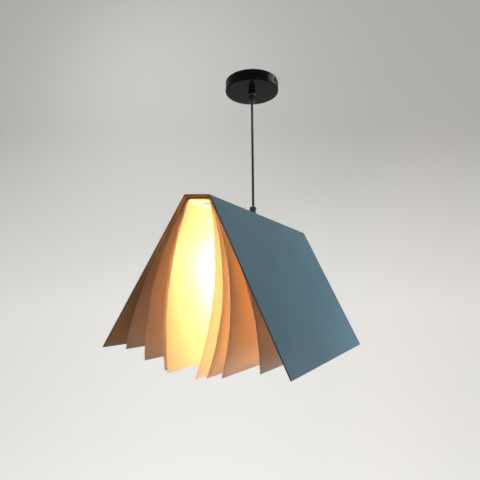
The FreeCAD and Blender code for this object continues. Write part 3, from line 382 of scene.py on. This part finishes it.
def opalGlass():
    # Opal glass globe, lit from the board at its neck: a warm glow that fades a little towards its lowest point
    look = {"colour": "#FFF1DA", "glow": "#FFD592", "fadedGlow": "#8F7550", "glowStrength": 1120.0,
            "neckLevel": -0.350, "lowestLevel": -0.392}
    material, tree, surface, place = newMaterial("opalGlassLit")
    level = addNode(tree, "SeparateXYZ", {"Vector": place})
    down = addNode(tree, "MapRange", {"Value": level.outputs["Z"], "From Min": look["neckLevel"],
                                      "From Max": look["lowestLevel"]})
    cloud = addNode(tree, "TexNoise", {"Vector": place, "Scale": perMetre(14.0), "Detail": 2.0})
    surface.inputs["Base Color"].default_value = linear(look["colour"])
    surface.inputs["Emission Strength"].default_value = look["glowStrength"]
    tree.links.new(ramp(tree, down.outputs["Result"], [(0.0, look["glow"]), (1.0, look["fadedGlow"])]),
                   surface.inputs["Emission Color"])
    join(tree, surface, roughness=spread(tree, cloud.outputs["Fac"], 0.2, 0.3))
    return material


def collarPaintedGlow():
    # White polycarbonate collar of the bulb, with a painted glow: an even light of its own that stands in for the
    # globe's light falling on it
    look = {"colour": "#F2EDE2", "glow": "#FFD08A", "glowStrength": 1500.0, "grainMm": 0.8}
    material, tree, surface, place = newMaterial("polycarbonateWhitePaintedGlow")
    grain = addNode(tree, "TexNoise", {"Vector": place, "Scale": perMetre(look["grainMm"]), "Detail": 2.0})
    surface.inputs["Base Color"].default_value = linear(look["colour"])
    # painted glow: the collar gives off light although it is no lamp
    surface.inputs["Emission Color"].default_value = linear(look["glow"])
    surface.inputs["Emission Strength"].default_value = look["glowStrength"]
    join(tree, surface, roughness=spread(tree, grain.outputs["Fac"], 0.28, 0.38))
    return material


finishes = {
    "zinc": zincPlate(),
    "lacquer": blackLacquer(),
    "enamel": whiteEnamel(),
    "gripNylon": mouldedNylon("nylonBlackMoulded", "#1D1D1F", 0.42, 0.5),
    "holderNylon": mouldedNylon("thermoplastBlackGloss", "#191919", 0.26, 0.8),
    "blockNylon": mouldedNylon("polyamideWhite", "#E6E4DC", 0.5, 0.6),
    "collarPaintedGlow": collarPaintedGlow(),
    "chrome": chromePlate(),
    "brass": turnedBrass(),
    "cord": cordRubber(),
    "wires": wireSheath(),
    "cover": powderCoat(),
    "lining": liningPaper(),
    "pages": pageFilm(),
    "porcelain": glazedPorcelain(),
    "aluminium": rolledAluminium(),
    "vitrite": capGlass(),
    "opal": opalGlass(),
}
nodeFinish = {
    "zinc": ["ceiling_bracket", "canopy_nipple", "canopy_locknut", "spine_nipple", "spine_locknut",
             "spine_bar", "canopy_grip_screw", "spine_grip_screw"],
    "enamel": ["clamp_bar"],
    "lacquer": ["canopy"],
    "gripNylon": ["canopy_grip", "spine_grip"],
    "holderNylon": ["holder_cap", "holder_shell"],
    "blockNylon": ["terminal_block", "page_screws"],
    "collarPaintedGlow": ["bulb_collar"],
    "chrome": ["side_screw_left", "side_screw_right"],
    "brass": ["terminal_brass", "holder_contacts", "bulb_tip"],
    "cord": ["cord_in_canopy", "cord_in_spine"],
    "wires": ["canopy_wires", "holder_wires"],
    "cover": ["cover"],
    "lining": ["cover_lining"],
    "pages": ["page_sheet_1", "page_sheet_2", "page_sheet_3", "page_sheet_4"],
    "porcelain": ["holder_insert"],
    "aluminium": ["bulb_cap"],
    "vitrite": ["bulb_insulator"],
    "opal": ["bulb_globe"],
}


def dress(piece, finish):
    # puts one finish on a piece in place of what it came with
    piece.data.materials.clear()
    piece.data.materials.append(finishes[finish])


for finish, names in nodeFinish.items():
    for name in names:
        dress(nodes[name], finish)
dress(cordPiece, "cord")
print("finishes:", len(finishes), "on", sum(len(names) for names in nodeFinish.values()), "nodes")

# The studio has a pale floor that sweeps up into a wall, softboxes and a low even sky
studio = {
    "floorLevel": -1.45,
    "wallDistance": 2.6,
    "width": 12.0,
    "bendRadius": 0.8,
    "colour": "#D9D8D5",
    "seenGlow": (0.88, 0.5),    # what the eye adds to the paper, low and high, so that it stays pale in low light
    "seenFrom": (-0.5, 1.0),    # the levels between which that fades
    "seenSky": 0.72,            # the sky as the eye and the mirrors see it
    "skyStrength": 0.055,       # the sky as a lamp
}


def seenOnly(tree, strength):
    # a strength that only camera, mirror and glass rays meet, so it lights nothing
    path = addNode(tree, "LightPath")
    shiny = addNode(tree, "Math", {0: path.outputs["Is Glossy Ray"], 1: path.outputs["Is Transmission Ray"]},
                    operation="MAXIMUM")
    clear = addNode(tree, "Math", {0: shiny.outputs["Value"], 1: path.outputs["Is Diffuse Ray"]},
                    operation="SUBTRACT", use_clamp=True)
    seen = addNode(tree, "Math", {0: path.outputs["Is Camera Ray"], 1: clear.outputs["Value"]},
                   operation="MAXIMUM")
    return addNode(tree, "Math", {0: seen.outputs["Value"], 1: strength}, operation="MULTIPLY").outputs["Value"]


def makeStudio():
    mesh = bpy.data.meshes.new("studioSweep")
    sweep = bmesh.new()
    # the floor's near edge, then the bend and the wall, as a line that is swept sideways
    places = [(-6.0, 0.0), (studio["wallDistance"] - studio["bendRadius"], 0.0)]
    for step in range(1, 13):
        turn = math.radians(90 * step / 12)
        places.append((studio["wallDistance"] + studio["bendRadius"] * (math.sin(turn) - 1),
                       studio["bendRadius"] * (1 - math.cos(turn))))
    places.append((studio["wallDistance"], 6.0))
    line = [sweep.verts.new((-studio["width"] / 2, y, z)) for y, z in places]
    edges = [sweep.edges.new(pair) for pair in zip(line, line[1:])]
    made = bmesh.ops.extrude_edge_only(sweep, edges=edges)
    moved = [v for v in made["geom"] if isinstance(v, bmesh.types.BMVert)]
    bmesh.ops.translate(sweep, vec=(studio["width"], 0, 0), verts=moved)
    bmesh.ops.recalc_face_normals(sweep, faces=sweep.faces)
    turned = Matrix.Rotation(math.radians(cameraView["heading"]), 4, "Z")
    bmesh.ops.transform(sweep, matrix=Matrix.Translation((0, 0, studio["floorLevel"])) @ turned, verts=sweep.verts)
    for face in sweep.faces:
        face.smooth = True
    sweep.to_mesh(mesh)
    sweep.free()
    piece = bpy.data.objects.new("studioSweep", mesh)
    bpy.context.scene.collection.objects.link(piece)
    material, tree, surface, place = newMaterial("studioPaper")
    surface.inputs["Base Color"].default_value = linear(studio["colour"])
    surface.inputs["Roughness"].default_value = 0.95
    surface.inputs["Specular IOR Level"].default_value = 0.1
    surface.inputs["Emission Color"].default_value = linear(studio["colour"])
    level = addNode(tree, "SeparateXYZ", {"Vector": place})
    low, high = studio["seenFrom"]
    glow = addNode(tree, "MapRange", {"Value": level.outputs["Z"], "From Min": low, "From Max": high,
                                      "To Min": studio["seenGlow"][0], "To Max": studio["seenGlow"][1]})
    tree.links.new(seenOnly(tree, glow.outputs["Result"]), surface.inputs["Emission Strength"])
    mesh.materials.append(material)
    return piece


def addSoftbox(name, place, target, size, power, colour="#FFFFFF"):
    lamp = bpy.data.lights.new(name, "AREA")
    lamp.shape = "DISK"
    lamp.size = size
    lamp.energy = power
    lamp.color = linear(colour)[:3]
    box = bpy.data.objects.new(name, lamp)
    bpy.context.scene.collection.objects.link(box)
    box.location = place
    box.rotation_euler = (Vector(target) - Vector(place)).to_track_quat("-Z", "Y").to_euler()
    return box


makeStudio()
softboxes = {
    "keySoftbox": ((0.85, 0.55, 0.55), (0.09, 0, -0.36), 0.8, 6.6),          # the right board, from above
    "kickSoftbox": ((0.55, 0.40, -0.60), (0.16, 0.05, -0.46), 0.35, 2.2),     # its lower far corner
    "fillSoftbox": ((-0.9, 0.5, 1.1), (-0.12, 0, -0.37), 0.9, 22),           # the left board and the far end
    "edgeSoftboxLeft": ((-0.62, -1.36, 0.1), (0, 0, -0.2), 0.2, 0.5),       # the near edges of pages and canopy
    "edgeSoftboxRight": ((1.29, -0.76, 0.1), (0, 0, -0.2), 0.2, 0.5),
    "wallSoftbox": ((-1.3, 0.7, 1.5), (-1.2, 2.4, 0.9), 1.6, 7),         # the sweep behind
}
for name, (place, target, size, power) in softboxes.items():
    addSoftbox(name, place, target, size, power)
world = bpy.data.worlds.new("studioSky")
bpy.context.scene.world = world
world.use_nodes = True
sky = world.node_tree
seenSky = seenOnly(sky, studio["seenSky"] - studio["skyStrength"])
level = addNode(sky, "Math", {0: seenSky, 1: studio["skyStrength"]}, operation="ADD")
sky.nodes["Background"].inputs["Color"].default_value = linear("#F4F6F8")
sky.links.new(level.outputs["Value"], sky.nodes["Background"].inputs["Strength"])
bpy.context.scene.view_settings.view_transform = "Standard"
print("studio: set")
